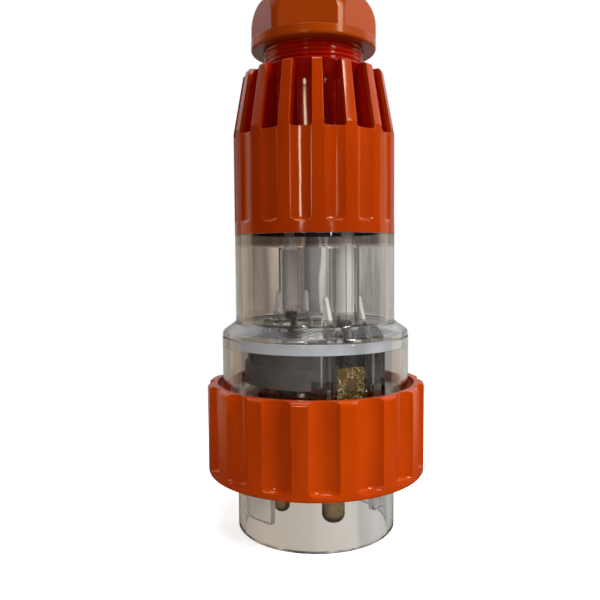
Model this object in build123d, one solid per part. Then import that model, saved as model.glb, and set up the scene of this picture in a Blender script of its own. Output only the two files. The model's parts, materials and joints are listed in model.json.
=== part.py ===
from build123d import *
import os
from math import sqrt

# A three-phase screwed plug that stands on the rim of its shroud, in millimetres.
# The origin is the centre of that rim and +Z runs up the axis to the cable gland.
# The key plane through the earth pin faces -Y. A turn is in degrees about +Z from -Y.

# Clearances
PRESS_GAP = 0.03        # round a contact in its moulding
MOULD_GAP = 0.1         # beside a piece that is fastened in place
SLIDE_GAP = 0.3         # round a piece that turns or slides
FACE_GAP = 0.05         # between two flat faces that turn on each other

# Shroud and contact floor of the front housing
SHROUD_R = 27.7
SHROUD_WALL = 2.2
SHROUD_DEPTH = 41.0     # from the rim up to the floor that the pins stand in
RIM_BEVEL = 0.5
FLOOR_T = 8.5
SEAT_RISE = 2.7         # the middle of the floor stands up by this under the carrier
SEAT_INSET = 4.3        # from the carrier's outside in to that middle
KEY_DEPTH = 1.9
WIDE_KEY = (-92.0, -60.0)
WIDE_KEY_LOW = 7.4      # the key starts this far above the rim
NARROW_KEY = (20.0, 34.0)
NARROW_KEY_LOW = 11.0

# Collar and flange of the front housing
COLLAR_STEP = 4.85      # from the shroud's outside out to the collar's
COLLAR_WALL = 2.35
COLLAR_H = 15.0         # from the floor up to the gasket
FLANGE_RISE = 2.4       # from the underside of the floor up to the flange
FLANGE_T = 3.0
BARREL_GASKET_T = 2.0
BARREL_GASKET_INSET = 0.85  # from the flange's edge
JOINT_GASKET_T = 3.5
JOINT_GASKET_W = 1.9
GASKET_LIP_T = 1.0      # the collar's lip that stands round the gasket

# Locking ring
RING_WALL = 4.15        # from the bore for the socket's barrel out to the grip
RING_SKIRT = 26.0       # below the lip that bears on the flange
RING_HEAD = 5.0         # above the underside of that lip
RING_LIP_T = 2.5
RING_LIP_OVERLAP = 0.7
RING_HEAD_WALL = 3.4
RING_TOP_ROUND = 1.4
RING_FOOT_ROUND = 0.9
RING_LEAD = 0.8
FLUTE_COUNT = 16
FLUTE_R = 6.7
FLUTE_DEPTH = 2.35
FLUTE_FOOT = 2.0        # the flutes end this far above the foot of the ring
FLUTE_END_ROUND = 1.6
RING_TURN = 0.4         # where the free ring happens to stand

# Rear housing
CHAMBER_INSET = 4.78    # from the collar's outside in to the chamber's
CHAMBER_WALL = 2.2
SHOULDER_EDGE = 1.5     # upright edge above the gasket
SHOULDER_RISE = 3.3
SHOULDER_DROP = 1.1     # from the shoulder's outside down to its inside
SHOULDER_ROUND = 1.4
CHAMBER_H = 34.6        # from the gasket up to the rim under the back shell
RIM_T = 4.0
NECK_WALL = 2.5
NECK_STEP = 2.6         # from the outside of the chamber in to the neck
NECK_H = 15.4
HOUSING_EDGE_STEP = 0.15  # the rear housing is this much smaller than the collar

# Screws that clamp the two housings, and their brass blocks
SCREW_TURNS = (0.0, 180.0)
SCREW_INSET = 4.57      # from the chamber's bore in to the screws
SCREW_R = 1.5
SCREW_LENGTH = 21.0
SCREW_HEAD_R = 2.3
SCREW_HEAD_H = 2.5
SCREW_HEAD_ROUND = 0.9
SCREW_SLOT_W = 0.8
SCREW_SLOT_DEPTH = 1.0
GUIDE_BORE_R = 2.5
GUIDE_WALL = 2.3
LUG_T = 3.6
LUG_WIDTH = 20.0
LUG_REACH = 6.0         # from the screw in towards the axis
BLOCK_WIDTH = 10.4
BLOCK_DEPTH = 6.3
BLOCK_H = 13.6
BLOCK_SINK = 3.5        # the block stands this far below the floor
BLOCK_OUTSET = 1.0      # the block's middle lies this far outside the screw
BLOCK_BEVEL = 0.3
FIN_T = 1.2
FIN_WIDTH = 5.4         # of the pocket's tall fins, where they enter the rear housing
FIN_TIP_WIDTH = 1.7
FIN_TIP_BEVEL = 1.2
FIN_TOP = 17.7          # above the top of the collar
FIN_UPRIGHT = 7.2       # above the collar, where the fin's outer edge starts to lean in
FIN_COLLAR_GAP = 4.0
RIB_T = 1.6             # of the ribs under the ends of a lug
RIB_REACH = 6.0         # from the collar's bore in towards the axis
RIB_TOP_WIDTH = 2.6     # above the top of the collar

# Terminal carrier
CARRIER_INSET = 5.4     # from the collar's bore
CARRIER_H = 13.8
CARRIER_STEP = 3.1
CARRIER_STEP_TURN = 29.0
CARRIER_POCKET_WALL = 0.3
WINDOW_TURN = 28.0      # from a screw's turn to the nearer end of a window
WINDOW_DEPTH = 1.0
WINDOW_H = 7.2

# Contacts
PIN_TURNS = {"earth": 0.0, "phase_1": 90.0, "phase_2": 180.0, "phase_3": 270.0}
HEAD_TO_POCKET = 0.75   # from a contact's head to the carrier's pocket for a screw block
EARTH_R = 3.85
PHASE_R = 2.65
EARTH_TIP = 4.9         # height of the earth pin's tip above the rim
PHASE_TIP = 6.3
TIP_ROUND = 0.75        # share of a pin's radius
SHANK_STEP = 0.3        # the shank in the floor is this much thicker all round
HEAD_R = 4.6
HEAD_H = 12.6
HEAD_BEVEL = 0.4
WIRE_BORE_R = 2.4
WIRE_BORE_DEPTH = 9.0
GRUB_R = 1.75
GRUB_LENGTH = 4.0
GRUB_REACH = 1.0        # from the pin's axis to the screw's inner end
GRUB_DROP = 3.6         # below the top of the head
GRUB_SIDE_TURN = 65.0   # turn of a screw whose way straight out is blocked
GRUB_SLOT = 0.7

# Back shell
SHELL_STEP = 0.03       # the shell stands out from the chamber by this much
SHELL_BODY_H = 34.4     # upright part, up to where the fins lean in
SHELL_H = 54.4
SHELL_TOP_WIDTH = 2.7   # of the grip fins' top ends
SHELL_TOP_ROUND = 1.2
SHELL_WALL = 3.6
SHELL_THREAD_GAP = 0.15
GRIP_COUNT = 16
GRIP_TURN = 7.6         # how much of a turn each grip fin takes
POCKET_FLOOR = 32.8     # above the foot of the shell
POCKET_DEEP = 2.3       # from the gland's outside out to a pocket's inner wall
POCKET_WALL = 2.1
POCKET_RIM = 5.0        # the same, at the top of a pocket
POCKET_FLARE_H = 7.0
POCKET_ROUND = 0.8
CONE_H = 5.6
PANEL_R = 10.0
PANEL_DEPTH = 0.75
PANEL_FOOT = 3.1
PANEL_END_ROUND = 2.0
SHELL_TURN = -0.85      # where the shell stops when it is screwed home
SHELL_SEAL_W = 0.95
SHELL_SEAL_H = 1.7

# Gland on the back shell, with its rubber bush, washer and nut
GLAND_R = 16.4          # at the root of the outside thread
GLAND_WALL = 2.2
GLAND_H = 12.0
SHELF_T = 2.5
SHELF_STEP = 1.5        # the shelf's bore is this much wider than the bush's
BUSH_BORE_R = 9.0
BUSH_H = 15.5
BUSH_STAND = 1.5        # the bush stands this far above the end of the gland
BUSH_BEVEL = 0.8
WASHER_T = 1.5
WASHER_STEP = 0.2       # the washer's bore is this much wider than the nut's mouth
NUT_WALL = 4.3          # from the inside thread's root out to a corner
NUT_FLAT_CUT = 2.25     # from a corner's radius in to a flat
NUT_STAND = 7.8         # thread that shows between the shell and the nut
NUT_COLLAR_H = 3.2
NUT_SIDE_H = 8.0
NUT_DOME_R = 11.0
NUT_H = 18.2
NUT_THREAD_ROOM = 0.7   # between the roots of the two threads
NUT_MOUTH_STEP = 3.0    # the nut's mouth is this much wider than the bush's bore
NUT_MOUTH_BEVEL = 0.8
NUT_FOOT_ROUND = 0.8
NUT_TRAVEL = 4.5        # from here down to where the washer meets the bush
NUT_TURN = -1.5         # where the nut happens to stand

# Heights that follow
FLOOR_TOP = SHROUD_DEPTH + FLOOR_T
SEAT_TOP = FLOOR_TOP + SEAT_RISE
HEAD_TOP = SEAT_TOP + HEAD_H
FLANGE_LOW = SHROUD_DEPTH + FLANGE_RISE
FLANGE_TOP = FLANGE_LOW + FLANGE_T
COLLAR_TOP = FLOOR_TOP + COLLAR_H
LIP_LOW = FLANGE_TOP + FACE_GAP
RING_LOW = LIP_LOW - RING_SKIRT
RING_TOP = LIP_LOW + RING_HEAD
REAR_LOW = COLLAR_TOP + JOINT_GASKET_T
LIP_TOP = REAR_LOW - SLIDE_GAP
RIM_TOP = REAR_LOW + CHAMBER_H
NECK_TOP = RIM_TOP + NECK_H
LUG_LOW = REAR_LOW + SLIDE_GAP
LUG_TOP = LUG_LOW + LUG_T
SHELL_TOP = RIM_TOP + SHELL_H
GLAND_TOP = SHELL_TOP + GLAND_H
BUSH_TOP = GLAND_TOP + BUSH_STAND
SHELF_TOP = BUSH_TOP - BUSH_H
WASHER_LOW = BUSH_TOP + NUT_TRAVEL + MOULD_GAP
NUT_SHOULDER = WASHER_LOW + WASHER_T + FACE_GAP
NUT_LOW = SHELL_TOP + NUT_STAND
NUT_TOP = NUT_LOW + NUT_H

# Radii and distances that follow
SHROUD_BORE_R = SHROUD_R - SHROUD_WALL
COLLAR_R = SHROUD_R + COLLAR_STEP
COLLAR_BORE_R = COLLAR_R - COLLAR_WALL
CARRIER_R = COLLAR_BORE_R - CARRIER_INSET
SEAT_R = CARRIER_R - SEAT_INSET
LIP_BORE_R = COLLAR_R + SLIDE_GAP
FLANGE_R = LIP_BORE_R + RING_LIP_OVERLAP
RING_BORE_R = FLANGE_R + SLIDE_GAP
RING_R = RING_BORE_R + RING_WALL
RING_HEAD_R = RING_R - RING_HEAD_WALL
REAR_EDGE_R = COLLAR_R - HOUSING_EDGE_STEP
CHAMBER_R = COLLAR_R - CHAMBER_INSET
CHAMBER_BORE_R = CHAMBER_R - CHAMBER_WALL
NECK_R = CHAMBER_R - NECK_STEP
NECK_BORE_R = NECK_R - NECK_WALL
GUIDE_R = GUIDE_BORE_R + GUIDE_WALL
SCREW_CIRCLE_R = CHAMBER_BORE_R - SCREW_INSET
BLOCK_MIDDLE = SCREW_CIRCLE_R + BLOCK_OUTSET
BLOCK_NEAR = BLOCK_MIDDLE - BLOCK_DEPTH / 2
PIN_CIRCLE_R = BLOCK_NEAR - CARRIER_POCKET_WALL - HEAD_TO_POCKET - HEAD_R
FIN_OFFSET = BLOCK_WIDTH / 2 + MOULD_GAP + FIN_T / 2
RIB_OFFSET = LUG_WIDTH / 2 - RIB_T / 2
SHELL_R = CHAMBER_R + SHELL_STEP
SHELL_BORE_R = NECK_R + SHELL_THREAD_GAP
SHELL_SEAL_R = NECK_R + MOULD_GAP + SHELL_SEAL_W
POCKET_R = GLAND_R + POCKET_DEEP
POCKET_RIM_R = GLAND_R + POCKET_RIM
SHELL_TOP_R = POCKET_RIM_R + SHELL_TOP_WIDTH
GLAND_BORE_R = GLAND_R - GLAND_WALL
SHELF_BORE_R = BUSH_BORE_R + SHELF_STEP
NUT_MOUTH_R = BUSH_BORE_R + NUT_MOUTH_STEP
WASHER_BORE_R = NUT_MOUTH_R + WASHER_STEP
NUT_BORE_R = GLAND_R + NUT_THREAD_ROOM
NUT_R = NUT_BORE_R + NUT_WALL

ON_BASE = (Align.CENTER, Align.CENTER, Align.MIN)
BEYOND = 1.0            # how far a cut runs past the face it opens


# Shapes that several pieces use

def disc(radius, low, high):
    """A cylinder on the axis between two heights."""
    return Pos(0, 0, low) * Cylinder(radius, high - low, align=ON_BASE)


def tube(outer, inner, low, high):
    """A tube on the axis between two heights."""
    return disc(outer, low, high) - disc(inner, low, high)


def spun(outline, first=0.0, last=360.0):
    """The solid that an outline of radius and height sweeps between two turns."""
    face = Plane.XZ * make_face(outline)
    return Rot(0, 0, first - 90) * revolve(face, Axis.Z, last - first)


def closed(*points):
    return Polyline(*points, close=True)


def sector(inner, outer, low, high, first, last):
    """The part of a tube that lies between two turns."""
    return spun(closed((inner, low), (outer, low), (outer, high), (inner, high)), first, last)


def post(radius, low, high, circle_r, turn=0.0):
    """An upright cylinder off the axis."""
    return Rot(0, 0, turn) * (Pos(0, -circle_r, 0) * disc(radius, low, high))


def block(width, near, far, low, high, turn=0.0):
    """A block across the radius, between two distances from the axis."""
    shape = Box(width, far - near, high - low, align=(Align.CENTER, Align.MAX, Align.MIN))
    return Rot(0, 0, turn) * (Pos(0, -near, low) * shape)


def round_edges(shape, height, radius, size):
    """The shape with its full-circle edges at a height and radius rounded."""
    edges = shape.edges().filter_by(GeomType.CIRCLE)
    edges = edges.filter_by(lambda e: abs(e.center().Z - height) < MOULD_GAP)
    edges = edges.filter_by(lambda e: abs(e.radius - radius) < MOULD_GAP)
    return fillet(edges, size)


def flute(radius, low, high, end_round):
    """The upright cutter of a flute or panel, with a rounded lower end."""
    return round_edges(disc(radius, low, high), low, radius, end_round)


def pin_radius(name):
    return EARTH_R if name == "earth" else PHASE_R


# Front housing

def guide_key(low, first, last):
    """A key on the inside of the shroud, between two turns."""
    inner = SHROUD_BORE_R - KEY_DEPTH
    outer = SHROUD_BORE_R + SHROUD_WALL / 2
    return sector(inner, outer, low, SHROUD_DEPTH + BEYOND, first, last)


def pocket_fin(offset, turn):
    """One side of a screw block's pocket, which runs on up into the rear housing."""
    near = BLOCK_NEAR
    far = near + FIN_WIDTH
    wide = COLLAR_BORE_R - FIN_COLLAR_GAP
    top = COLLAR_TOP + FIN_TOP
    outline = closed(
        (-near, FLOOR_TOP - BEYOND),
        (-near, top - FIN_TIP_BEVEL),
        (-near - FIN_TIP_WIDTH / 2, top),
        (-near - FIN_TIP_WIDTH, top - FIN_TIP_BEVEL / 2),
        (-far, COLLAR_TOP + FIN_UPRIGHT),
        (-far, COLLAR_TOP),
        (-wide, COLLAR_TOP - FIN_COLLAR_GAP),
        (-wide, FLOOR_TOP - BEYOND),
    )
    plate = extrude(Plane.YZ * make_face(outline), FIN_T / 2, both=True)
    return Rot(0, 0, turn) * (Pos(offset, 0, 0) * plate)


def lug_rib(offset, turn):
    """A rib inside the collar, under one end of the rear housing's lug."""
    near = COLLAR_BORE_R - RIB_REACH
    outline = closed(
        (-near, FLOOR_TOP - BEYOND),
        (-near, LIP_TOP),
        (-near - RIB_TOP_WIDTH, LIP_TOP),
        (-near - RIB_TOP_WIDTH, COLLAR_TOP),
        (-COLLAR_BORE_R, COLLAR_TOP),
        (-COLLAR_BORE_R, FLOOR_TOP - BEYOND),
    )
    plate = extrude(Plane.YZ * make_face(outline), RIB_T / 2, both=True)
    return Rot(0, 0, turn) * (Pos(offset, 0, 0) * plate)


def block_space(turn, gap=0.0):
    """The room that a screw block takes, grown sideways by a gap."""
    low = FLOOR_TOP - BLOCK_SINK
    near = BLOCK_NEAR - gap
    far = BLOCK_NEAR + BLOCK_DEPTH + gap
    return block(BLOCK_WIDTH + 2 * gap, near, far, low, low + BLOCK_H, turn)


def front_housing():
    outline = closed(
        (0, SHROUD_DEPTH),
        (SHROUD_BORE_R, SHROUD_DEPTH),
        (SHROUD_BORE_R, RIM_BEVEL),
        (SHROUD_BORE_R + RIM_BEVEL, 0),
        (SHROUD_R - RIM_BEVEL, 0),
        (SHROUD_R, RIM_BEVEL),
        (SHROUD_R, FLANGE_LOW),
        (FLANGE_R, FLANGE_LOW),
        (FLANGE_R, FLANGE_TOP),
        (COLLAR_R, FLANGE_TOP),
        (COLLAR_R, LIP_TOP),
        (COLLAR_R - GASKET_LIP_T, LIP_TOP),
        (COLLAR_R - GASKET_LIP_T, COLLAR_TOP),
        (COLLAR_BORE_R, COLLAR_TOP),
        (COLLAR_BORE_R, FLOOR_TOP),
        (SEAT_R, FLOOR_TOP),
        (SEAT_R, SEAT_TOP),
        (0, SEAT_TOP),
    )
    keys = [guide_key(WIDE_KEY_LOW, *WIDE_KEY), guide_key(NARROW_KEY_LOW, *NARROW_KEY)]
    body = spun(outline) + keys
    for turn in SCREW_TURNS:
        body += [pocket_fin(side * FIN_OFFSET, turn) for side in (-1, 1)]
        body += [lug_rib(side * RIB_OFFSET, turn) for side in (-1, 1)]
        body -= block_space(turn, MOULD_GAP)
    for name, turn in PIN_TURNS.items():
        hole_r = pin_radius(name) + SHANK_STEP + PRESS_GAP
        body -= post(hole_r, SHROUD_DEPTH - BEYOND, SEAT_TOP + BEYOND, PIN_CIRCLE_R, turn)
    return body


def joint_gasket():
    outer = COLLAR_R - GASKET_LIP_T - MOULD_GAP
    return tube(outer, outer - JOINT_GASKET_W, COLLAR_TOP, REAR_LOW)


def barrel_gasket():
    outer = FLANGE_R - BARREL_GASKET_INSET
    return tube(outer, SHROUD_R + MOULD_GAP, FLANGE_LOW - BARREL_GASKET_T, FLANGE_LOW)


# Rear housing

def shoulder_line(edge_r, chamber_r, low, top):
    """Half outline from the gasket up over the shoulder to the top of the chamber."""
    line = Polyline(
        (0, low),
        (edge_r, low),
        (edge_r, low + SHOULDER_EDGE),
        (chamber_r, low + SHOULDER_EDGE + SHOULDER_RISE),
        (chamber_r, top),
        (0, top),
        close=True,
    )
    face = make_face(line)
    bends = [v for v in face.vertices() if low + MOULD_GAP < v.Y < top - MOULD_GAP]
    return fillet(bends, SHOULDER_ROUND)


def rear_housing():
    outside = revolve(Plane.XZ * shoulder_line(REAR_EDGE_R, CHAMBER_R, REAR_LOW, RIM_TOP), Axis.Z)
    inside = revolve(
        Plane.XZ * shoulder_line(COLLAR_BORE_R, CHAMBER_BORE_R, REAR_LOW - SHOULDER_DROP, RIM_TOP - RIM_T),
        Axis.Z,
    )
    body = outside - inside
    for turn in SCREW_TURNS:
        near = SCREW_CIRCLE_R - LUG_REACH
        lug = block(LUG_WIDTH, near, REAR_EDGE_R, LUG_LOW, LUG_TOP, turn)
        guide = post(GUIDE_R, LUG_TOP - BEYOND, RIM_TOP - RIM_T + BEYOND, SCREW_CIRCLE_R, turn)
        body += [lug & outside, guide & outside]
    body += disc(NECK_R, RIM_TOP - RIM_T / 2, NECK_TOP)
    body -= disc(NECK_BORE_R, RIM_TOP - RIM_T - BEYOND, NECK_TOP + BEYOND)
    for turn in SCREW_TURNS:
        body -= post(GUIDE_BORE_R, LUG_TOP, NECK_TOP + BEYOND, SCREW_CIRCLE_R, turn)
        body -= post(SCREW_R + MOULD_GAP, LUG_LOW - BEYOND, LUG_TOP + BEYOND, SCREW_CIRCLE_R, turn)
        near = BLOCK_NEAR - SLIDE_GAP
        far = BLOCK_NEAR + FIN_WIDTH + SLIDE_GAP
        for side in (-1, 1):
            slot = block(FIN_T + 2 * SLIDE_GAP, near, far, LUG_LOW - BEYOND, LUG_TOP + BEYOND)
            body -= Rot(0, 0, turn) * (Pos(side * FIN_OFFSET, 0, 0) * slot)
    return body


def shell_seal():
    low = RIM_TOP
    high = RIM_TOP + SHELL_SEAL_H
    return tube(SHELL_SEAL_R - MOULD_GAP / 2, NECK_R + MOULD_GAP / 2, low, high)


# Screws and their blocks

def screw_block(turn):
    body = chamfer(block_space(turn).edges(), BLOCK_BEVEL)
    low = FLOOR_TOP - BLOCK_SINK
    return body - post(SCREW_R + PRESS_GAP, low - BEYOND, low + BLOCK_H + BEYOND, SCREW_CIRCLE_R, turn)


def assembly_screw(turn):
    """A screw whose head bears on the rear housing's lug and whose end is in the block."""
    top = LUG_TOP + SCREW_HEAD_H
    head = round_edges(disc(SCREW_HEAD_R, LUG_TOP, top), top, SCREW_HEAD_R, SCREW_HEAD_ROUND)
    shank = disc(SCREW_R, LUG_TOP - SCREW_LENGTH, LUG_TOP)
    slot = Pos(0, 0, top) * Box(SCREW_HEAD_R * 2, SCREW_SLOT_W, SCREW_SLOT_DEPTH * 2)
    return Rot(0, 0, turn) * (Pos(0, -SCREW_CIRCLE_R, 0) * (head + shank - slot))


# Contacts and their carrier

def grub_place(turn):
    """Where a terminal screw lies: its axis runs outwards along +X of this place."""
    blocked = turn in SCREW_TURNS
    out_turn = GRUB_SIDE_TURN if blocked else 0.0
    height = HEAD_TOP - GRUB_DROP
    return Rot(0, 0, turn) * Pos(0, -PIN_CIRCLE_R, height) * Rot(0, 0, out_turn - 90)


def grub_rod(radius, near, far):
    """A rod along +X between two distances from the pin's axis."""
    return Pos(near, 0, 0) * (Rot(0, 90, 0) * Cylinder(radius, far - near, align=ON_BASE))


def contact(name, turn):
    """A turned pin whose thicker head takes the wire from above."""
    radius = pin_radius(name)
    tip = EARTH_TIP if name == "earth" else PHASE_TIP
    pin = round_edges(disc(radius, tip, SHROUD_DEPTH), tip, radius, radius * TIP_ROUND)
    shank = disc(radius + SHANK_STEP, SHROUD_DEPTH, SEAT_TOP)
    head = disc(HEAD_R, SEAT_TOP, HEAD_TOP)
    head = chamfer(head.edges().group_by(Axis.Z)[-1], HEAD_BEVEL)
    body = pin + shank + head - disc(WIRE_BORE_R, HEAD_TOP - WIRE_BORE_DEPTH, HEAD_TOP + BEYOND)
    body = Rot(0, 0, turn) * (Pos(0, -PIN_CIRCLE_R, 0) * body)
    return body - grub_place(turn) * grub_rod(GRUB_R + PRESS_GAP, 0, HEAD_R + BEYOND)


def terminal_screw(turn):
    body = grub_rod(GRUB_R, GRUB_REACH, GRUB_REACH + GRUB_LENGTH)
    slot = Pos(GRUB_REACH + GRUB_LENGTH, 0, 0) * Box(GRUB_SLOT * 2, GRUB_R * 2, GRUB_SLOT)
    return grub_place(turn) * (body - slot)


def terminal_carrier():
    top = SEAT_TOP + CARRIER_H
    body = disc(CARRIER_R, SEAT_TOP, top)
    notch_width = 2 * FIN_OFFSET + FIN_T + 2 * SLIDE_GAP
    for turn in SCREW_TURNS:
        near = BLOCK_NEAR - CARRIER_POCKET_WALL
        body -= block(notch_width, near, CARRIER_R + BEYOND, SEAT_TOP, top, turn)
        body -= sector(
            SEAT_R, CARRIER_R + BEYOND, SEAT_TOP, SEAT_TOP + CARRIER_STEP,
            turn - CARRIER_STEP_TURN, turn + CARRIER_STEP_TURN,
        )
        body -= sector(
            CARRIER_R - WINDOW_DEPTH, CARRIER_R + BEYOND, top - WINDOW_H, top + BEYOND,
            turn + WINDOW_TURN, turn + 180 - WINDOW_TURN,
        )
    for turn in PIN_TURNS.values():
        body -= post(HEAD_R + MOULD_GAP, SEAT_TOP, top, PIN_CIRCLE_R, turn)
        body -= grub_place(turn) * grub_rod(GRUB_R + SLIDE_GAP, 0, CARRIER_R)
    return body


# Locking ring

def locking_ring():
    outline = closed(
        (RING_BORE_R + RING_LEAD, RING_LOW),
        (RING_R, RING_LOW),
        (RING_R, RING_TOP),
        (RING_HEAD_R, RING_TOP),
        (RING_HEAD_R, LIP_LOW + RING_LIP_T),
        (LIP_BORE_R, LIP_LOW + RING_LIP_T),
        (LIP_BORE_R, LIP_LOW),
        (RING_BORE_R, LIP_LOW),
        (RING_BORE_R, RING_LOW + RING_LEAD),
    )
    body = round_edges(spun(outline), RING_TOP, RING_R, RING_TOP_ROUND)
    body = round_edges(body, RING_LOW, RING_R, RING_FOOT_ROUND)
    cutter = flute(FLUTE_R, RING_LOW + FLUTE_FOOT, RING_TOP + BEYOND, FLUTE_END_ROUND)
    cutter = Pos(0, FLUTE_DEPTH - RING_R - FLUTE_R, 0) * cutter
    step = 360 / FLUTE_COUNT
    return body - [Rot(0, 0, RING_TURN + k * step) * cutter for k in range(FLUTE_COUNT)]


# Back shell

def grip_pocket():
    """The cutter of one deep pocket between two grip fins, seen from -Y."""
    floor = RIM_TOP + POCKET_FLOOR
    far = SHELL_R + BEYOND
    flare_low = SHELL_TOP - POCKET_FLARE_H
    line = Polyline(
        (POCKET_RIM_R, SHELL_TOP),
        (POCKET_RIM_R, SHELL_TOP + BEYOND),
        (far, SHELL_TOP + BEYOND),
        (far, floor),
        (POCKET_R, floor),
        (POCKET_R, flare_low),
    ) + TangentArc((POCKET_R, flare_low), (POCKET_RIM_R, SHELL_TOP), tangent=(0, 1))
    half = (360 / GRIP_COUNT - GRIP_TURN) / 2
    cutter = spun(line, -half, half)
    floor_edges = cutter.edges().filter_by(GeomType.LINE)
    floor_edges = floor_edges.filter_by(lambda e: abs(e.center().Z - floor) < MOULD_GAP)
    return fillet(floor_edges, POCKET_ROUND)


def shell_outside():
    outline = closed(
        (0, RIM_TOP),
        (SHELL_R, RIM_TOP),
        (SHELL_R, RIM_TOP + SHELL_BODY_H),
        (SHELL_TOP_R, SHELL_TOP),
        (0, SHELL_TOP),
    )
    return round_edges(spun(outline), SHELL_TOP, SHELL_TOP_R, SHELL_TOP_ROUND)


def shell_inside():
    """The hollow from the neck's thread up through the core to the gland's bush."""
    wide = SHELL_R - SHELL_WALL
    core = POCKET_R - POCKET_WALL
    cone_top = RIM_TOP + POCKET_FLOOR - POCKET_WALL
    seal_top = RIM_TOP + SHELL_SEAL_H
    return spun(closed(
        (0, RIM_TOP - BEYOND),
        (SHELL_SEAL_R, RIM_TOP - BEYOND),
        (SHELL_SEAL_R, seal_top),
        (SHELL_BORE_R, seal_top),
        (SHELL_BORE_R, NECK_TOP + MOULD_GAP),
        (wide, NECK_TOP + MOULD_GAP),
        (wide, cone_top - CONE_H),
        (core, cone_top),
        (core, SHELF_TOP - SHELF_T),
        (SHELF_BORE_R, SHELF_TOP - SHELF_T),
        (SHELF_BORE_R, SHELF_TOP),
        (GLAND_BORE_R, SHELF_TOP),
        (GLAND_BORE_R, GLAND_TOP + BEYOND),
        (0, GLAND_TOP + BEYOND),
    ))


def back_shell():
    step = 360 / GRIP_COUNT
    pocket = grip_pocket()
    panel_low = RIM_TOP + PANEL_FOOT
    panel = flute(PANEL_R, panel_low, RIM_TOP + POCKET_FLOOR + POCKET_ROUND, PANEL_END_ROUND)
    panel = Pos(0, PANEL_DEPTH - SHELL_R - PANEL_R, 0) * panel
    body = shell_outside()
    turns = [SHELL_TURN + (k + 0.5) * step for k in range(GRIP_COUNT)]
    body -= [Rot(0, 0, turn) * panel for turn in turns]
    body -= [Rot(0, 0, turn) * pocket for turn in turns]
    body += disc(GLAND_R, SHELL_TOP - BEYOND, GLAND_TOP)
    return body - shell_inside()


# Gland

def gland_bush():
    body = tube(GLAND_BORE_R - MOULD_GAP / 2, BUSH_BORE_R, SHELF_TOP, BUSH_TOP)
    return chamfer(body.edges().group_by(Axis.Z)[-1], BUSH_BEVEL)


def gland_washer():
    return tube(NUT_BORE_R - SLIDE_GAP, WASHER_BORE_R, WASHER_LOW, WASHER_LOW + WASHER_T)


def gland_nut():
    dome_low = NUT_LOW + NUT_SIDE_H
    dome_centre = NUT_R - NUT_DOME_R
    rise = NUT_TOP - dome_low
    top_r = dome_centre + sqrt(NUT_DOME_R**2 - rise**2)
    line = Polyline(
        (top_r, NUT_TOP),
        (NUT_MOUTH_R + NUT_MOUTH_BEVEL, NUT_TOP),
        (NUT_MOUTH_R, NUT_TOP - NUT_MOUTH_BEVEL),
        (NUT_MOUTH_R, NUT_SHOULDER),
        (NUT_BORE_R, NUT_SHOULDER),
        (NUT_BORE_R, NUT_LOW),
        (NUT_R, NUT_LOW),
        (NUT_R, dome_low),
    ) + TangentArc((NUT_R, dome_low), (top_r, NUT_TOP), tangent=(0, 1))
    body = round_edges(spun(line), NUT_LOW, NUT_R, NUT_FOOT_ROUND)
    low = NUT_LOW + NUT_COLLAR_H
    hexagon = RegularPolygon(NUT_R - NUT_FLAT_CUT, 6, major_radius=False, rotation=30)
    flats = disc(NUT_R + BEYOND, low, NUT_TOP + BEYOND) - Pos(0, 0, low) * extrude(hexagon, NUT_H)
    return body - Rot(0, 0, NUT_TURN) * flats


def all_parts():
    parts = {
        "front_housing": front_housing(),
        "rear_housing": rear_housing(),
        "joint_gasket": joint_gasket(),
        "barrel_gasket": barrel_gasket(),
        "terminal_carrier": terminal_carrier(),
        "locking_ring": locking_ring(),
        "back_shell": back_shell(),
        "shell_seal": shell_seal(),
        "gland_bush": gland_bush(),
        "gland_washer": gland_washer(),
        "gland_nut": gland_nut(),
    }
    for name, turn in PIN_TURNS.items():
        parts[f"{name}_pin"] = contact(name, turn)
        parts[f"{name}_terminal_screw"] = terminal_screw(turn)
    for number, turn in enumerate(SCREW_TURNS, start=1):
        parts[f"assembly_screw_{number}"] = assembly_screw(turn)
        parts[f"screw_block_{number}"] = screw_block(turn)
    return parts


os.makedirs("parts", exist_ok=True)
for node, shape in all_parts().items():
    export_step(shape, f"parts/{node}.step")
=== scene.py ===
import json
import math

import bmesh
import bpy
from mathutils import Matrix, Vector


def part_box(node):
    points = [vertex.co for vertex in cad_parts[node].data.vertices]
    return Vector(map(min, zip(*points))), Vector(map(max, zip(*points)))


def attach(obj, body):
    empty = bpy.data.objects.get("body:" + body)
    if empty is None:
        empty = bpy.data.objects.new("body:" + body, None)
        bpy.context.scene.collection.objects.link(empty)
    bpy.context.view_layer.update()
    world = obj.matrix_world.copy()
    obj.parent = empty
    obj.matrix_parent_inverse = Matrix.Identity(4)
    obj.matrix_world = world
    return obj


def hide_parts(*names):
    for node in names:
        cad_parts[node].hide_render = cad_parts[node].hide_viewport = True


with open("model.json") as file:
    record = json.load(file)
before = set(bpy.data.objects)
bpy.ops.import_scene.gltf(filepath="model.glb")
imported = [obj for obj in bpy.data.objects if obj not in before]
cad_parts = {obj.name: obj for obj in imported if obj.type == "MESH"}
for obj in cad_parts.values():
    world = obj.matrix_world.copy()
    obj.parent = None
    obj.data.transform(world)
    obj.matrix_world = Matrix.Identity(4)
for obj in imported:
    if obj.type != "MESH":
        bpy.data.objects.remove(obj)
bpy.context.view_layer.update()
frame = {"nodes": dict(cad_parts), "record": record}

MM = 0.001
NODES = frame["nodes"]

# Threads: heights above a piece's own foot, and radii, in millimetres
GLAND_THREAD_H = 12.0
GLAND_ROOT_R = 16.4
GLAND_CREST_R = 17.0
NUT_BORE_R = 17.1
NUT_CREST_R = 16.6
NUT_THREAD = (0.8, 9.0)
FINE_PITCH = 1.5
RING_BORE_R = 33.85
RING_CREST_R = 32.95
RING_THREAD = (1.5, 20.5)
RING_PITCH = 4.0
THREAD_SINK = 0.05

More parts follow.
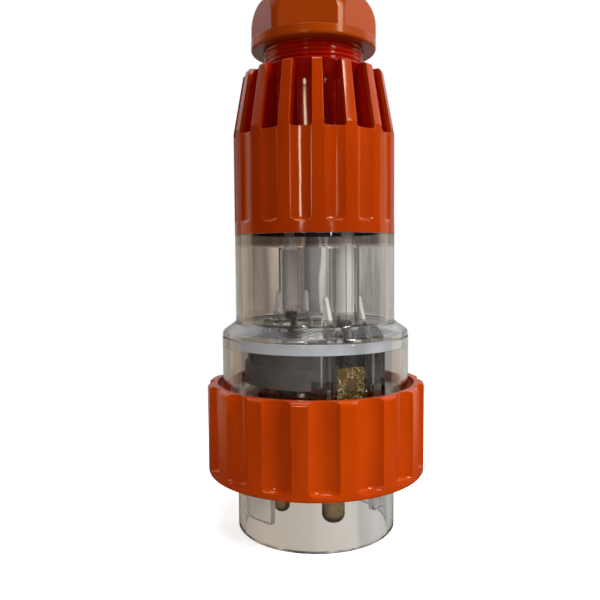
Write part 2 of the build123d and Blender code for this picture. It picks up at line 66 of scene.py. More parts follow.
# A thread ridge: half widths as shares of its pitch, steps in a turn, and the tapered end in turns
SUNK_HALF = 0.46
FOOT_HALF = 0.42
CREST_HALF = 0.1
FINE_STEPS = 96
RING_STEPS = 160
TAPER_TURNS = 0.125

# Assembly screws, in millimetres
SCREW_CIRCLE_R = 21.0
SCREW_ROOT_R = 1.2
SCREW_CREST_R = 1.5
SCREW_PITCH = 0.5
SCREW_HEAD_R = 2.3
SCREW_HEAD_H = 2.5
SLOT_HALF = 0.4
SLOT_DEPTH = 1.0
HEAD_ROUNDING = 0.6
HEAD_CORNER = 0.18

# Assembly screws: counts of sides and rows, and the form of the thread's wave
HEAD_SIDES = 48
CHEEK_STEPS = 16
SHANK_SIDES = 24
ROWS_PER_PITCH = 8
RIDGE_SLOPE = 2.6
RIDGE_FLAT = 1.4

# Where a material changes: heights above the floor, radii and distances, in millimetres
# SHADED_RIM: heights where painted shade starts on the rear housing's rim
SHADED_RIM = (98.8, 99.2)
SHELL_LEAN = (137.0, 157.0)
SHELL_LEAN_R = (27.8, 24.1)
# POCKET_SHADE_DEPTH: how far under the back shell's outer faces the painted pocket shade comes in
POCKET_SHADE_DEPTH = (0.8, 1.7)
FIN_FOOT = (73.5, 75.0)
GUIDE_FOOT = (75.5, 77.5)
GUIDE_BORE = (2.5, 2.8)
KEY_REACH = (24.9, 25.3)
KEY_TOP = 40.8
SCREW_WINDOW = (1.0, 6.5)

# Clear plastic: its depths in millimetres, how milky it gets, and its colours
CLEAR_IOR = 1.5
CLEAR_WAVE = 0.25
CLEAR_EDGE = 0.22
CLEAR_HAZE = (0.015, 0.07)
MILKY_SHARE = 0.5
MILKY_ROUGH = 0.3
MILKY = (0.9, 0.89, 0.89, 1)
CLEAR_TINT = (0.78, 0.77, 0.755, 1)
# RIM_SHADE: painted shade for the rear housing's rim band
RIM_SHADE = (0.42, 0.38, 0.36, 1)

# Colour of the gloss on the orange mouldings
SHEEN = (1.0, 0.85, 0.6, 1)

# Camera, as seen in the photograph's 600 pixel frame: angles in degrees, lengths in millimetres
VIEW_TURN = -26.0
CAMERA_DISTANCE = 231.4
CAMERA_HEIGHT = 95.1
CAMERA_PITCH = 3.79
CAMERA_YAW = 1.30
CAMERA_ROLL = 0.44
FOCAL_PIXELS = 656.1
PHOTO_PIXELS = 600
SENSOR_MM = 36.0
CLIP_NEAR = 0.01
CLIP_FAR = 20.0

# Floor: lengths in metres, and how bright it looks to each kind of ray
FLOOR_R = 3.0
FLOOR_SIDES = 96
SHADOW_FAR = (0.1, 0.24)
FLOOR_GLOW = 0.55
FLOOR_PAPER = (0.9, 0.9, 0.9, 1)
FLOOR_BOUNCE = (0.42, 0.42, 0.42, 1)
FLOOR_MIRRORED = (0.07, 0.068, 0.065, 1)
WHITE = (1, 1, 1, 1)

# Painted light seen through the shroud: glowing bands on the floor, as places from the left of the view to
# its right, and their colours
SHROUD_SPAN = 0.12
SHROUD_LIGHT_BANDS = (
    (0.0, (0.52, 0.45, 0.38, 1)),
    (0.2, (0.62, 0.54, 0.46, 1)),
    (0.3, (0.6, 0.54, 0.47, 1)),
    (0.45, (0.64, 0.57, 0.51, 1)),
    (0.52, (0.7, 0.65, 0.59, 1)),
    (0.66, (0.76, 0.71, 0.65, 1)),
    (0.74, (0.78, 0.74, 0.69, 1)),
    (0.79, (0.6, 0.58, 0.56, 1)),
    (0.9, (0.74, 0.725, 0.7, 1)),
    (1.0, (0.66, 0.65, 0.63, 1)),
)

# What shows through the clear plastic above the ring, given in the same way
BACKDROP_SPAN = 0.13
BACKDROP = (
    (0.0, (0.38, 0.325, 0.27, 1)),
    (0.1, (0.66, 0.56, 0.46, 1)),
    (0.36, (0.5, 0.43, 0.37, 1)),
    (0.42, (0.16, 0.15, 0.145, 1)),
    (0.54, (0.28, 0.27, 0.265, 1)),
    (0.61, (0.2, 0.195, 0.19, 1)),
    (0.72, (0.58, 0.575, 0.565, 1)),
    (0.94, (0.84, 0.83, 0.8, 1)),
    (1.0, (0.64, 0.63, 0.6, 1)),
)

# Bright cards in the backdrop: centre, half width and how much brighter each is
BRIGHT_CARDS = (
    (-0.036, 0.005, 1.2),
    (0.019, 0.004, 2.4),
    (0.036, 0.006, 2.4),
)
CARD_SOFTNESS = 1.7

# The backdrop's cloudy patches, and how it dims to the sides but not towards the floor
CLOUD_SCALE = 22.0
CLOUD_STRETCH = (1, 1, 0.35)
CLOUD_RANGE = (0.35, 0.65)
CLOUD_LIGHT = (0.75, 1.25)
STRAIGHT = (0.2, 0.8)
SIDEWAYS = 0.35
FLOORWARD = (-0.4, -0.28)

# The room that gloss mirrors: before the plug, behind it and overhead, and the light that fills it
ROOM = (0.015, 0.014, 0.013, 1)
ROOM_BACK = (0.4, 0.38, 0.36, 1)
ROOM_DEPTH = (0.3, 0.9)
SKY = (1.0, 1.06, 1.18, 1)
SKY_DEPTH = (-0.1, 0.15)
SKY_RISE = (0.2, 0.45)
AMBIENT = (0.29, 0.266, 0.28, 1)

# Lamps: their colours, and lengths in metres
WARM = (1.0, 0.72, 0.45)
COOL = (0.9, 0.95, 1.0)
GREENISH = (1.0, 1.18, 0.95)
PALE_GREEN = (1.0, 1.1, 1.0)
LAMP_DISTANCE = 0.8
MIDDLE_HEIGHT = 0.12

# Light bounces, enough for a ray to pass all the clear walls
CLEAR_BOUNCES = 20
GLOSSY_BOUNCES = 12


# Node trees

def add(tree, kind, settings=None, **inputs):
    """A shader node, with its settings and inputs.

    An input is named, or is i and its place from 0, and is a value or another node's output.
    """
    made = tree.nodes.new(kind)
    for name, value in (settings or {}).items():
        setattr(made, name, value)
    for name, value in inputs.items():
        key = int(name[1:]) if name[0] == "i" and name[1:].isdigit() else name.replace("_", " ")
        if isinstance(value, bpy.types.NodeSocket):
            tree.links.new(value, made.inputs[key])
        else:
            made.inputs[key].default_value = value
    return made


def new_material(name):
    material = bpy.data.materials.new(name)
    material.use_nodes = True
    material.node_tree.nodes.clear()
    return material, material.node_tree


def surface(tree, shader):
    add(tree, "ShaderNodeOutputMaterial", Surface=shader)


def rgb(red, green, blue):
    return (red, green, blue, 1.0)


def metres(lengths):
    return [length * MM for length in lengths]


def calc(tree, operation, *values):
    """The result of a sum on numbers."""
    inputs = {f"i{key}": value for key, value in enumerate(values)}
    return add(tree, "ShaderNodeMath", {"operation": operation}, **inputs).outputs["Value"]


def measure(tree, operation, *vectors):
    """The number that comes of one vector or two, such as a length."""
    inputs = {f"i{key}": vector for key, vector in enumerate(vectors)}
    return add(tree, "ShaderNodeVectorMath", {"operation": operation}, **inputs).outputs["Value"]


def remap(tree, value, source, target=(0.0, 1.0)):
    """Carries a value from one range to another, and stops at its ends."""
    made = add(
        tree, "ShaderNodeMapRange", Value=value,
        From_Min=source[0], From_Max=source[1], To_Min=target[0], To_Max=target[1],
    )
    return made.outputs["Result"]


def blend_colour(tree, factor, first, second):
    made = add(tree, "ShaderNodeMix", {"data_type": "RGBA"})
    for key, value in (("Factor", factor), ("A", first), ("B", second)):
        socket = next(s for s in made.inputs if s.name == key and s.enabled)
        if isinstance(value, bpy.types.NodeSocket):
            tree.links.new(value, socket)
        else:
            socket.default_value = value
    return next(s for s in made.outputs if s.enabled)


def blend_shader(tree, factor, first, second):
    return add(tree, "ShaderNodeMixShader", i0=factor, i1=first, i2=second).outputs["Shader"]


def emission(tree, colour, strength=1.0):
    return add(tree, "ShaderNodeEmission", Color=colour, Strength=strength).outputs["Emission"]


def diffuse(tree, colour):
    return add(tree, "ShaderNodeBsdfDiffuse", Color=colour).outputs["BSDF"]


def colour_bands(tree, value, span, stops):
    """A soft run of colours over a value that goes from minus span to span."""
    ramp = add(tree, "ShaderNodeValToRGB", Fac=remap(tree, value, (-span, span)))
    ramp.color_ramp.interpolation = "EASE"
    for position, _ in stops[1:-1]:
        ramp.color_ramp.elements.new(position)
    for stop, (_, colour) in zip(ramp.color_ramp.elements, stops):
        stop.color = colour
    return ramp.outputs["Color"]


# Places on a piece

def place(tree, stretch=(1, 1, 1)):
    """Coordinates that stay with the piece, in metres, scaled along each axis."""
    coordinates = add(tree, "ShaderNodeTexCoord")
    mapping = add(tree, "ShaderNodeMapping", Vector=coordinates.outputs["Object"])
    mapping.inputs["Scale"].default_value = stretch
    return mapping.outputs["Vector"]


def parts_of(tree, vector):
    return add(tree, "ShaderNodeSeparateXYZ", Vector=vector).outputs


def height_of(tree):
    return parts_of(tree, place(tree))["Z"]


def radius_of(tree):
    """The distance from the plug's axis."""
    return measure(tree, "LENGTH", place(tree, (1, 1, 0)))


def noise(tree, scale, detail=3.0, stretch=(1, 1, 1), distortion=0.0):
    made = add(
        tree, "ShaderNodeTexNoise", Vector=place(tree, stretch),
        Scale=scale, Detail=detail, Distortion=distortion,
    )
    return made.outputs["Fac"]


def bumped(tree, layers, edge):
    """A normal with rounded edges and layers of bump, each a height and its depth in millimetres."""
    normal = add(tree, "ShaderNodeBevel", {"samples": 6}, Radius=edge * MM).outputs["Normal"]
    for height, depth in layers:
        bump = add(tree, "ShaderNodeBump", Height=height, Distance=depth * MM, Strength=1.0, Normal=normal)
        normal = bump.outputs["Normal"]
    return normal


def pocket_shade_mask(tree):
    """Painted shade mask: runs from 0 at the back shell's outer faces to 1 deep in its pockets and on the
    gland.
    """
    outside = remap(tree, height_of(tree), metres(SHELL_LEAN), metres(SHELL_LEAN_R))
    depth = calc(tree, "SUBTRACT", outside, radius_of(tree))
    return remap(tree, depth, metres(POCKET_SHADE_DEPTH))


def in_fins_and_keys(tree):
    """Is 1 in the pockets' tall fins, above the front housing's collar, and in the shroud's keys."""
    height = height_of(tree)
    fins = remap(tree, height, metres(FIN_FOOT))
    inward = remap(tree, radius_of(tree), metres(KEY_REACH), (1.0, 0.0))
    below = calc(tree, "LESS_THAN", height, KEY_TOP * MM)
    return calc(tree, "MULTIPLY_ADD", inward, below, fins)


def near_screws(tree):
    """Is 1 within the two screws' guide bores, above their heads, and 0 outside them."""
    parts = parts_of(tree, place(tree))
    side = calc(tree, "SUBTRACT", calc(tree, "ABSOLUTE", parts["Y"]), SCREW_CIRCLE_R * MM)
    reach = add(tree, "ShaderNodeCombineXYZ", X=parts["X"], Y=side).outputs["Vector"]
    within = remap(tree, measure(tree, "LENGTH", reach), metres(GUIDE_BORE), (1.0, 0.0))
    above = remap(tree, parts["Z"], metres(GUIDE_FOOT))
    return calc(tree, "MULTIPLY", within, above)


def past_screws(tree):
    """Is 1 where a ring about the axis passes the two screws, and 0 beside them."""
    side = calc(tree, "ABSOLUTE", parts_of(tree, place(tree))["X"])
    return remap(tree, side, metres(SCREW_WINDOW), (1.0, 0.0))


def painted_glints(tree):
    """Broken bright lines of paler, rougher brass, painted in as glints."""
    wander = noise(tree, scale=240, detail=2.0, stretch=(1, 1, 0.4), distortion=1.0)
    off_line = calc(tree, "ABSOLUTE", calc(tree, "SUBTRACT", wander, 0.5))
    streak = remap(tree, off_line, (0.01, 0.09), (1.0, 0.0))
    cluster = remap(tree, noise(tree, scale=170, detail=1.0, stretch=(1, 1, 0.5)), (0.4, 0.5))
    broken = remap(tree, noise(tree, scale=1800), (0.46, 0.6))
    return calc(tree, "MULTIPLY", calc(tree, "MULTIPLY", streak, cluster), broken)


# Materials

def orange_plastic(name, colour, deep, rough, shine, edge, wave, grain, pocket_shade=None):
    """Moulded coloured plastic with faint flow marks and an uneven skin.

    pocket_shade is a deeper red, painted shade deep in the back shell's pockets and on the gland.
    """
    material, tree = new_material(name)
    drift = remap(tree, noise(tree, scale=55, detail=2.0, stretch=(1, 1, 0.35)), (0.35, 0.65))
    paint = blend_colour(tree, drift, colour, deep)
    # Painted shade: the pockets and the gland turn a deeper red
    if pocket_shade:
        paint = blend_colour(tree, pocket_shade_mask(tree), paint, pocket_shade)
    marks = noise(tree, scale=420, detail=4.0, stretch=(1, 1, 0.12), distortion=1.2)
    scuffs = remap(tree, marks, (0.62, 0.74), (0.0, 0.07))
    skin = noise(tree, scale=85, detail=1.0, stretch=(1, 1, 0.4))
    fine = noise(tree, scale=2600, detail=2.0)
    shader = add(
        tree, "ShaderNodeBsdfPrincipled",
        Base_Color=paint,
        Roughness=calc(tree, "ADD", scuffs, remap(tree, drift, (0.0, 1.0), (rough, rough + 0.05))),
        Specular_IOR_Level=shine,
        Specular_Tint=SHEEN,
        Normal=bumped(tree, [(skin, wave), (fine, grain)], edge),
    )
    surface(tree, shader.outputs["BSDF"])
    return material


def clear_plastic(name, milky, shaded_rim=False):
    """Clear moulded plastic, milky where a mask says. Lamps shine through it. With shaded_rim, a band near
    its top is darkened as painted shade.
    """
    material, tree = new_material(name)
    colour = CLEAR_TINT
    # Painted shade: a dark band along the rim
    if shaded_rim:
        colour = blend_colour(tree, remap(tree, height_of(tree), metres(SHADED_RIM)), colour, RIM_SHADE)
    mask = milky(tree)
    colour = blend_colour(tree, mask, colour, MILKY)
    haze = remap(tree, noise(tree, scale=300, stretch=(1, 1, 0.3)), (0.55, 0.8), CLEAR_HAZE)
    skin = noise(tree, scale=60, detail=1.0, stretch=(1, 1, 0.5))
    glass = add(
        tree, "ShaderNodeBsdfPrincipled",
        Base_Color=colour,
        Roughness=calc(tree, "MULTIPLY_ADD", mask, MILKY_ROUGH, haze),
        IOR=CLEAR_IOR,
        Transmission_Weight=remap(tree, mask, (0.0, 1.0), (1.0, 1.0 - MILKY_SHARE)),
        Normal=bumped(tree, [(skin, CLEAR_WAVE)], CLEAR_EDGE),
    )
    open_way = add(tree, "ShaderNodeBsdfTransparent", Color=colour)
    shadow_ray = add(tree, "ShaderNodeLightPath").outputs["Is Shadow Ray"]
    surface(tree, blend_shader(tree, shadow_ray, glass.outputs["BSDF"], open_way.outputs["BSDF"]))
    return material


def plain_plastic(name, colour, second, rough, grain, edge=0.2, through=0.0, window=0.0):
    """Moulded plastic or rubber with a fine grain.

    through is the share of it that lets light pass, and window that share where it passes the screws.
    """
    material, tree = new_material(name)
    drift = remap(tree, noise(tree, scale=140), (0.35, 0.65))
    if window:
        through = remap(tree, past_screws(tree), (0.0, 1.0), (through, window))
    shader = add(
        tree, "ShaderNodeBsdfPrincipled",
        Base_Color=blend_colour(tree, drift, colour, second),
        Roughness=remap(tree, drift, (0.0, 1.0), (rough, rough + 0.08)),
        Transmission_Weight=through,
        Normal=bumped(tree, [(noise(tree, scale=3000, detail=2.0), grain)], edge),
    )
    surface(tree, shader.outputs["BSDF"])
    return material


def metal(name, colour, second, rough, layers, spread=0.14, with_painted_glints=False, edge=0.15):
    """Bare metal; layers gives each bump's scale, stretch and depth, and spread the patches' roughness."""
    material, tree = new_material(name)
    # With painted glints, the patches are bright lines that stand in for glints
    drift = painted_glints(tree) if with_painted_glints else remap(tree, noise(tree, scale=260, detail=4.0), (0.3, 0.7))
    heights = [(noise(tree, scale, stretch=stretch), depth) for scale, stretch, depth in layers]
    shader = add(
        tree, "ShaderNodeBsdfPrincipled",
        Base_Color=blend_colour(tree, drift, colour, second),
        Metallic=1.0,
        Roughness=remap(tree, drift, (0.0, 1.0), (rough, rough + spread)),
        Normal=bumped(tree, heights, edge),
    )
    surface(tree, shader.outputs["BSDF"])
    return material


# The back shell's orange, with painted shade deep in its pockets and on the gland
GLOSS_ORANGE = orange_plastic(
    "gloss_orange", colour=rgb(0.31, 0.027, 0.0002), deep=rgb(0.26, 0.0215, 0.0001),
    rough=0.09, shine=0.3, edge=0.3, wave=0.6, grain=0.0015, pocket_shade=rgb(0.255, 0.0035, 0.0001),
)
# Painted light: a brighter copy of the back shell's orange, for the extra light the ring catches
RING_ORANGE = orange_plastic(
    "ring_orange", colour=rgb(0.445, 0.0435, 0.0002), deep=rgb(0.37, 0.033, 0.0001),
    rough=0.1, shine=0.3, edge=0.3, wave=0.4, grain=0.0015,
)
SATIN_ORANGE = orange_plastic(
    "satin_orange", colour=rgb(0.28, 0.036, 0.0004), deep=rgb(0.24, 0.028, 0.0003),
    rough=0.14, shine=0.16, edge=0.5, wave=0.2, grain=0.002,
)
CLEAR = clear_plastic("clear_plastic", milky=in_fins_and_keys)
CLEAR_REAR = clear_plastic("clear_plastic_shaded_rim", milky=near_screws, shaded_rim=True)
MILKY_RUBBER = plain_plastic(
    "milky_rubber", colour=rgb(0.88, 0.92, 1.0), second=rgb(0.74, 0.78, 0.87),
    rough=0.06, grain=0.001, through=0.35, window=0.62,
)
BLACK_RUBBER = plain_plastic(
    "black_rubber", colour=rgb(0.025, 0.025, 0.025), second=rgb(0.04, 0.04, 0.04),
    rough=0.55, grain=0.006,
)
DARK_PLASTIC = plain_plastic(
    "dark_plastic", colour=rgb(0.078, 0.07, 0.066), second=rgb(0.11, 0.1, 0.095),
    rough=0.4, grain=0.005,
)
WHITE_PLASTIC = plain_plastic(
    "white_plastic", colour=rgb(0.74, 0.73, 0.7), second=rgb(0.68, 0.67, 0.63),
    rough=0.4, grain=0.004,
)
TURNED_BRASS = metal(
    "turned_brass", colour=rgb(0.4, 0.29, 0.13), second=rgb(0.27, 0.19, 0.08), rough=0.24,
    layers=[(900, (0.15, 0.15, 1), 0.01), (5200, (1, 1, 1), 0.002)],
)
# The screw blocks' brass, with painted glints in bright lines
SAWN_BRASS_PAINTED_GLINTS = metal(
    "sawn_brass_painted_glints", colour=rgb(0.4, 0.27, 0.055), second=rgb(1.0, 0.86, 0.5), rough=0.16,
    layers=[(420, (1, 1, 0.6), 1.2), (1900, (1, 1, 1), 0.3)], spread=0.4, with_painted_glints=True,
)
SCREW_STEEL = metal(
    "screw_steel", colour=rgb(0.2, 0.19, 0.18), second=rgb(0.1, 0.095, 0.09), rough=0.24,
    layers=[(3000, (1, 1, 1), 0.004)],
)

SLOT_FINISH = {
    "clear_housing": CLEAR,
    "white_gasket": MILKY_RUBBER,
    "black_rubber": BLACK_RUBBER,
    "dark_plastic": DARK_PLASTIC,
    "orange_gloss": GLOSS_ORANGE,
    "orange_satin": SATIN_ORANGE,
    "white_plastic": WHITE_PLASTIC,
    "brass": TURNED_BRASS,
    "screw_steel": SCREW_STEEL,
}
NODE_FINISH = {
    "rear_housing": CLEAR_REAR,
    "locking_ring": RING_ORANGE,
    "screw_block_1": SAWN_BRASS_PAINTED_GLINTS,
    "screw_block_2": SAWN_BRASS_PAINTED_GLINTS,
}


def finish_nodes():
    """Every solid gets its slot's material, or its own where it has one."""
    for part in frame["record"]["subparts"]:
        piece = NODES[part["node"]]
        finish = NODE_FINISH.get(part["node"], SLOT_FINISH[part["material_slot"]])
        piece.data.materials.clear()
        piece.data.materials.append(finish)


# Mesh pieces

def mesh_piece(name, points, faces, finish, body):
    """A smooth mesh piece in the plug's own frame, from points in millimetres."""
    mesh = bpy.data.meshes.new(name)
    mesh.from_pydata([tuple(c * MM for c in p) for p in points], [], faces)
    shape = bmesh.new()
    shape.from_mesh(mesh)
    bmesh.ops.recalc_face_normals(shape, faces=shape.faces)
    shape.to_mesh(mesh)
    shape.free()
    mesh.materials.append(finish)
    mesh.shade_smooth()
    piece = bpy.data.objects.new(name, mesh)
    bpy.context.scene.collection.objects.link(piece)
    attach(piece, body)
    return piece


def top_of(node):
    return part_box(node)[1].z / MM


def foot_of(node):
    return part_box(node)[0].z / MM


def strip_faces(rows, size):
    """Faces between rows of points, each row closed round to its start."""
    faces = []
    for i in range(rows - 1):
        for k in range(size):
            a = i * size + k
            b = i * size + (k + 1) % size
            faces.append((a, b, b + size, a + size))
    return faces


def thread_ridge(root, crest, low, high, pitch, start=0.0, per_turn=FINE_STEPS):
    """Points and faces of a helical ridge on a cylinder, tapering off at both ends; start is in turns."""
    sunk = root - THREAD_SINK if crest > root else root + THREAD_SINK
    profile = [
        (sunk, -SUNK_HALF), (root, -FOOT_HALF), (crest, -CREST_HALF),
        (crest, CREST_HALF), (root, FOOT_HALF), (sunk, SUNK_HALF),
    ]
    count = int((high - low - pitch) / pitch * per_turn)
    tapered = per_turn * TAPER_TURNS
    points = []
    for i in range(count + 1):
        taper = min(1.0, i / tapered, (count - i) / tapered)
        angle = 2 * math.pi * (i / per_turn + start)
        height = low + pitch / 2 + pitch * i / per_turn
        for radius, up in profile:
            r = sunk + (radius - sunk) * taper
            points.append((r * math.cos(angle), r * math.sin(angle), height + up * pitch))
    size = len(profile)
    faces = strip_faces(count + 1, size)
    faces.append(tuple(range(size))[::-1])
    faces.append(tuple(count * size + k for k in range(size)))
    return points, faces


def make_gland_and_nut_threads():
    """Both threads keep in step, so that they mesh where the nut sits on the gland."""
    gland_top = top_of("back_shell")
    gland_low = gland_top - GLAND_THREAD_H
    points, faces = thread_ridge(GLAND_ROOT_R, GLAND_CREST_R, gland_low, gland_top, FINE_PITCH)
    mesh_piece("gland_thread", points, faces, GLOSS_ORANGE, "plug_body")
    low, high = (foot_of("gland_nut") + rise for rise in NUT_THREAD)
    start = (low - gland_low) / FINE_PITCH + 0.5
    points, faces = thread_ridge(NUT_BORE_R, NUT_CREST_R, low, high, FINE_PITCH, start)
    mesh_piece("nut_thread", points, faces, SATIN_ORANGE, "nut")


def make_ring_thread():
    low, high = (foot_of("locking_ring") + rise for rise in RING_THREAD)
    points, faces = thread_ridge(
        RING_BORE_R, RING_CREST_R, low, high, RING_PITCH, per_turn=RING_STEPS,
    )
    mesh_piece("ring_thread", points, faces, GLOSS_ORANGE, "ring")


# Assembly screws

def on_circle(centre, radius, angle, height):
    return (centre[0] + radius * math.cos(angle), centre[1] + radius * math.sin(angle), height)


def circle_of(centre, radius, height):
    return [on_circle(centre, radius, 2 * math.pi * k / HEAD_SIDES, height) for k in range(HEAD_SIDES)]


def stack(rings):
    """Faces that join a stack of equal rings of points into a closed solid."""
    size = len(rings[0])
    faces = [tuple(range(size)), tuple((len(rings) - 1) * size + k for k in range(size))]
    faces += strip_faces(len(rings), size)
    return [p for ring in rings for p in ring], faces


def joined(*solids):
    points, faces = [], []
    for some_points, some_faces in solids:
        faces += [tuple(k + len(points) for k in face) for face in some_faces]
        points += some_points
    return points, faces


def screw_shank(centre, low, high):
    """A threaded rod as one grid: its radius swings between root and crest along the helix."""
    rings = []
    rows = int((high - low) / SCREW_PITCH * ROWS_PER_PITCH)
    for i in range(rows + 1):
        height = low + (high - low) * i / rows
        ring = []
        for k in range(SHANK_SIDES):
            phase = (height / SCREW_PITCH - k / SHANK_SIDES) % 1
            swing = max(0.0, 1 - abs(phase - 0.5) * RIDGE_SLOPE)
            swing *= min(1.0, (rows - i) / ROWS_PER_PITCH, (i + 2) / ROWS_PER_PITCH)
            radius = SCREW_ROOT_R + (SCREW_CREST_R - SCREW_ROOT_R) * min(1.0, swing * RIDGE_FLAT)
            ring.append(on_circle(centre, radius, 2 * math.pi * k / SHANK_SIDES, height))
        rings.append(ring)
    return stack(rings)


def screw_cheek(centre, side, low, high):
    """Half of a slotted head above the slot's floor, with its top edge rounded."""
    outline = (
        (SCREW_HEAD_R, low),
        (SCREW_HEAD_R, high - HEAD_ROUNDING),
        (SCREW_HEAD_R - HEAD_CORNER, high - HEAD_CORNER),
        (SCREW_HEAD_R - HEAD_ROUNDING, high),
    )
    rings = []
    for radius, height in outline:
        first = math.asin(SLOT_HALF / radius)
        step = (math.pi - 2 * first) / CHEEK_STEPS
        angles = [side * (first + step * k) for k in range(CHEEK_STEPS + 1)]
        rings.append([on_circle(centre, radius, angle, height) for angle in angles])
    return stack(rings)


def make_screws():
    """The assembly screws, with a cut thread and a slotted head in place of the plain ones."""
    for number, side in ((1, -1), (2, 1)):
        node = f"assembly_screw_{number}"
        centre = (0, side * SCREW_CIRCLE_R)
        top = top_of(node)
        seat = top - SCREW_HEAD_H
        slot_floor = top - SLOT_DEPTH
        shank = screw_shank(centre, foot_of(node), seat)
        head = stack([circle_of(centre, SCREW_HEAD_R, seat), circle_of(centre, SCREW_HEAD_R, slot_floor)])
        cheeks = [screw_cheek(centre, way, slot_floor, top) for way in (-1, 1)]
        points, faces = joined(shank, head, *cheeks)
        piece = mesh_piece(
            f"threaded_screw_{number}", points, faces, SCREW_STEEL, "plug_body",
        )
        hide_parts(node)
        NODES[node].hide_render = True


# Camera

def make_camera():
    turn = math.radians(VIEW_TURN)
    eye = Vector((math.sin(turn), -math.cos(turn), 0)) * CAMERA_DISTANCE * MM
    eye.z = CAMERA_HEIGHT * MM
    heading = math.radians(90 + VIEW_TURN + CAMERA_YAW)
    pitch = math.radians(CAMERA_PITCH)
    forward = Vector((
        math.cos(heading) * math.cos(pitch), math.sin(heading) * math.cos(pitch), -math.sin(pitch),
    ))
    data = bpy.data.cameras.new("camera")
    data.sensor_width = SENSOR_MM
    data.lens = FOCAL_PIXELS / PHOTO_PIXELS * SENSOR_MM
    data.clip_start = CLIP_NEAR
    data.clip_end = CLIP_FAR
    camera = bpy.data.objects.new("camera", data)
    bpy.context.scene.collection.objects.link(camera)
    aim = forward.to_track_quat("-Z", "Y").to_matrix().to_4x4()
    roll = Matrix.Rotation(math.radians(-CAMERA_ROLL), 4, "Z")
    camera.matrix_world = Matrix.Translation(eye) @ aim @ roll
    bpy.context.scene.camera = camera


# Studio

def across_view(tree, vector):
    """How far a vector points to the right, as the photograph looks."""
    turn = math.radians(VIEW_TURN)
    return measure(tree, "DOT_PRODUCT", vector, (math.cos(turn), math.sin(turn), 0))


def along_view(tree, vector):
    """How far a vector points away from the viewer, as the photograph looks."""
    turn = math.radians(VIEW_TURN)
    return measure(tree, "DOT_PRODUCT", vector, (-math.sin(turn), math.cos(turn), 0))


def shroud_painted_light(tree, here):
    """Painted light on the floor as it shows through the shroud: glowing bands that run away from the
    viewer.
    """
    away_from_eye = calc(tree, "ADD", along_view(tree, here), CAMERA_DISTANCE * MM)
    side = calc(tree, "DIVIDE", across_view(tree, here), away_from_eye)
    return emission(tree, colour_bands(tree, side, SHROUD_SPAN, SHROUD_LIGHT_BANDS))


def make_floor():
    """A white floor. It keeps the plug's shadow, and away from it runs into the white background."""
    bpy.ops.mesh.primitive_circle_add(vertices=FLOOR_SIDES, radius=FLOOR_R, fill_type="NGON")
    floor = bpy.context.object
    floor.name = "floor"
    material, tree = new_material("floor")
    rays = add(tree, "ShaderNodeLightPath").outputs
    here = add(tree, "ShaderNodeTexCoord").outputs["Object"]
    far = remap(tree, measure(tree, "LENGTH", here), SHADOW_FAR)
    gone = add(tree, "ShaderNodeBsdfTransparent").outputs["BSDF"]
    lit = add(
        tree, "ShaderNodeAddShader", i0=emission(tree, WHITE, FLOOR_GLOW), i1=diffuse(tree, FLOOR_PAPER),
    ).outputs["Shader"]
    paper = blend_shader(tree, far, lit, emission(tree, WHITE))
    # Through the shroud, the floor near the plug shows painted light in glowing bands
    through = blend_shader(tree, far, shroud_painted_light(tree, here), gone)
    mirrored = blend_shader(tree, far, diffuse(tree, FLOOR_MIRRORED), gone)
    shader = diffuse(tree, FLOOR_BOUNCE)
    shader = blend_shader(tree, rays["Is Glossy Ray"], shader, mirrored)
    shader = blend_shader(tree, rays["Is Transmission Ray"], shader, through)
    shader = blend_shader(tree, rays["Is Camera Ray"], shader, paper)
    surface(tree, shader)
    floor.data.materials.append(material)


def backdrop(tree, look):
    """What shows through the clear plastic: soft bands and cards, cloudy, and dimmer to the sides."""
    across = across_view(tree, look)
    cards = 1.0
    for centre, half, bright in BRIGHT_CARDS:
        offset = calc(tree, "ABSOLUTE", calc(tree, "SUBTRACT", across, centre))
        card = remap(tree, offset, (half, CARD_SOFTNESS * half), (bright, 0.0))
        cards = calc(tree, "ADD", cards, card)
    patches = add(tree, "ShaderNodeMapping", Vector=look)
    patches.inputs["Scale"].default_value = CLOUD_STRETCH
    cloud = add(
        tree, "ShaderNodeTexNoise", Vector=patches.outputs["Vector"], Scale=CLOUD_SCALE, Detail=2.0,
    ).outputs["Fac"]
    cloud = remap(tree, cloud, CLOUD_RANGE, CLOUD_LIGHT)
    straight = calc(tree, "ABSOLUTE", along_view(tree, look))
    ahead = remap(tree, straight, STRAIGHT, (SIDEWAYS, 1.0))
    to_floor = remap(tree, parts_of(tree, look)["Z"], FLOORWARD, (1.0, 0.0))
    colour = colour_bands(tree, across, BACKDROP_SPAN, BACKDROP)
    for share in (cards, cloud, calc(tree, "MAXIMUM", ahead, to_floor)):
        colour = add(
            tree, "ShaderNodeVectorMath", {"operation": "SCALE"}, i0=colour, Scale=share,
        ).outputs["Vector"]
    return colour


def mirrored_room(tree, look):
    """What gloss mirrors: a dark room before the plug, a pale wall behind it and a bright ceiling."""
    along = along_view(tree, look)
    colour = blend_colour(tree, remap(tree, along, ROOM_DEPTH), ROOM, ROOM_BACK)
    overhead = calc(
        tree, "MULTIPLY", remap(tree, along, SKY_DEPTH), remap(tree, parts_of(tree, look)["Z"], SKY_RISE),
    )
    return blend_colour(tree, overhead, colour, SKY)


def make_world():
    world = bpy.data.worlds.new("world")
    world.use_nodes = True
    tree = world.node_tree
    tree.nodes.clear()
    rays = add(tree, "ShaderNodeLightPath").outputs
    look = add(tree, "ShaderNodeTexCoord").outputs["Generated"]
    colour = blend_colour(tree, rays["Is Glossy Ray"], AMBIENT, mirrored_room(tree, look))
    colour = blend_colour(tree, rays["Is Transmission Ray"], colour, backdrop(tree, look))
    colour = blend_colour(tree, rays["Is Camera Ray"], colour, WHITE)
    sky = add(tree, "ShaderNodeBackground", Color=colour, Strength=1.0)
    add(tree, "ShaderNodeOutputWorld", Surface=sky.outputs["Background"])
    world.cycles.sampling_method = "NONE"
    bpy.context.scene.world = world


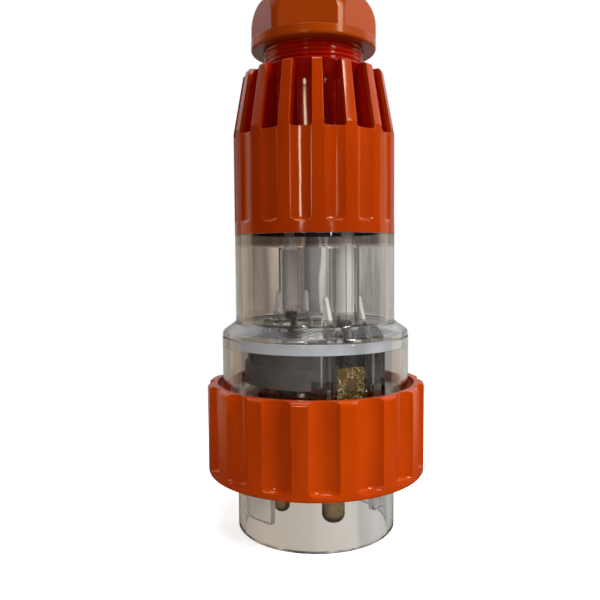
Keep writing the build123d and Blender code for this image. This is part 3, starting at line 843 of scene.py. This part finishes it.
def make_lamp(
    name, turn, rise, size, glow, colour=(1, 1, 1), mirrored=True, lights=True, distance=LAMP_DISTANCE,
):
    """A rectangular lamp that faces the plug, sized in metres.

    turn, from the camera's side, and rise are in degrees. mirrored says whether gloss shows it,
    and lights whether it lights the mouldings.
    """
    angle = math.radians(VIEW_TURN + turn)
    flat = distance * math.cos(math.radians(rise))
    height = MIDDLE_HEIGHT + distance * math.sin(math.radians(rise))
    data = bpy.data.lights.new(name, "AREA")
    data.shape = "RECTANGLE"
    data.size, data.size_y = size
    data.energy = glow * math.pi * size[0] * size[1]
    data.color = colour
    lamp = bpy.data.objects.new(name, data)
    bpy.context.scene.collection.objects.link(lamp)
    lamp.location = (math.sin(angle) * flat, -math.cos(angle) * flat, height)
    aim = Vector((0, 0, MIDDLE_HEIGHT)) - lamp.location
    lamp.rotation_mode = "QUATERNION"
    lamp.rotation_quaternion = aim.to_track_quat("-Z", "Y")
    lamp.visible_camera = False
    lamp.visible_transmission = False
    lamp.visible_glossy = mirrored
    lamp.visible_diffuse = lights


def make_windows():
    """Lamps whose reflections show on the mouldings."""
    make_lamp("high_window", turn=49, rise=32, size=(0.11, 0.36), glow=30)
    make_lamp("low_strip", turn=-16, rise=8.5, size=(0.08, 0.2), glow=28)
    make_lamp("thin_strip", turn=22, rise=5, size=(0.02, 0.14), glow=16)
    make_lamp("ceiling", turn=-10, rise=72, size=(0.3, 0.2), glow=8)
    make_lamp("right_wall", turn=115, rise=0, size=(0.3, 1.2), glow=1.1, colour=WARM)
    make_lamp("left_wall", turn=-112, rise=0, size=(0.4, 1.2), glow=1.0, colour=WARM)


def make_cards():
    """Cards that are only mirrored. The two low ones show in the ring's flutes."""
    make_lamp("ceiling_card", turn=0, rise=88, size=(0.5, 0.5), glow=2.6, colour=COOL, lights=False)
    make_lamp("left_card", turn=-44, rise=-21, size=(0.008, 0.14), glow=70, lights=False)
    make_lamp("right_card", turn=62, rise=-21, size=(0.008, 0.14), glow=70, lights=False)


def make_fills():
    """Lamps that light the mouldings and aren't mirrored."""
    make_lamp("left_fill", turn=-80, rise=25, size=(0.4, 0.5), glow=0.6, mirrored=False)
    make_lamp("back_fill", turn=180, rise=25, size=(0.5, 0.5), glow=2.2, mirrored=False)
    make_lamp("right_fill", turn=78, rise=15, size=(0.4, 0.5), glow=2.6, colour=GREENISH, mirrored=False)
    make_lamp(
        "nut_fill", turn=72, rise=33, size=(0.12, 0.12), glow=11, colour=PALE_GREEN,
        mirrored=False, distance=0.3,
    )


finish_nodes()
make_gland_and_nut_threads()
make_ring_thread()
make_screws()
make_camera()
make_floor()
make_world()
make_windows()
make_cards()
make_fills()

scene = bpy.context.scene
scene.view_settings.view_transform = "Standard"
scene.cycles.max_bounces = CLEAR_BOUNCES
scene.cycles.transmission_bounces = CLEAR_BOUNCES
scene.cycles.glossy_bounces = GLOSSY_BOUNCES
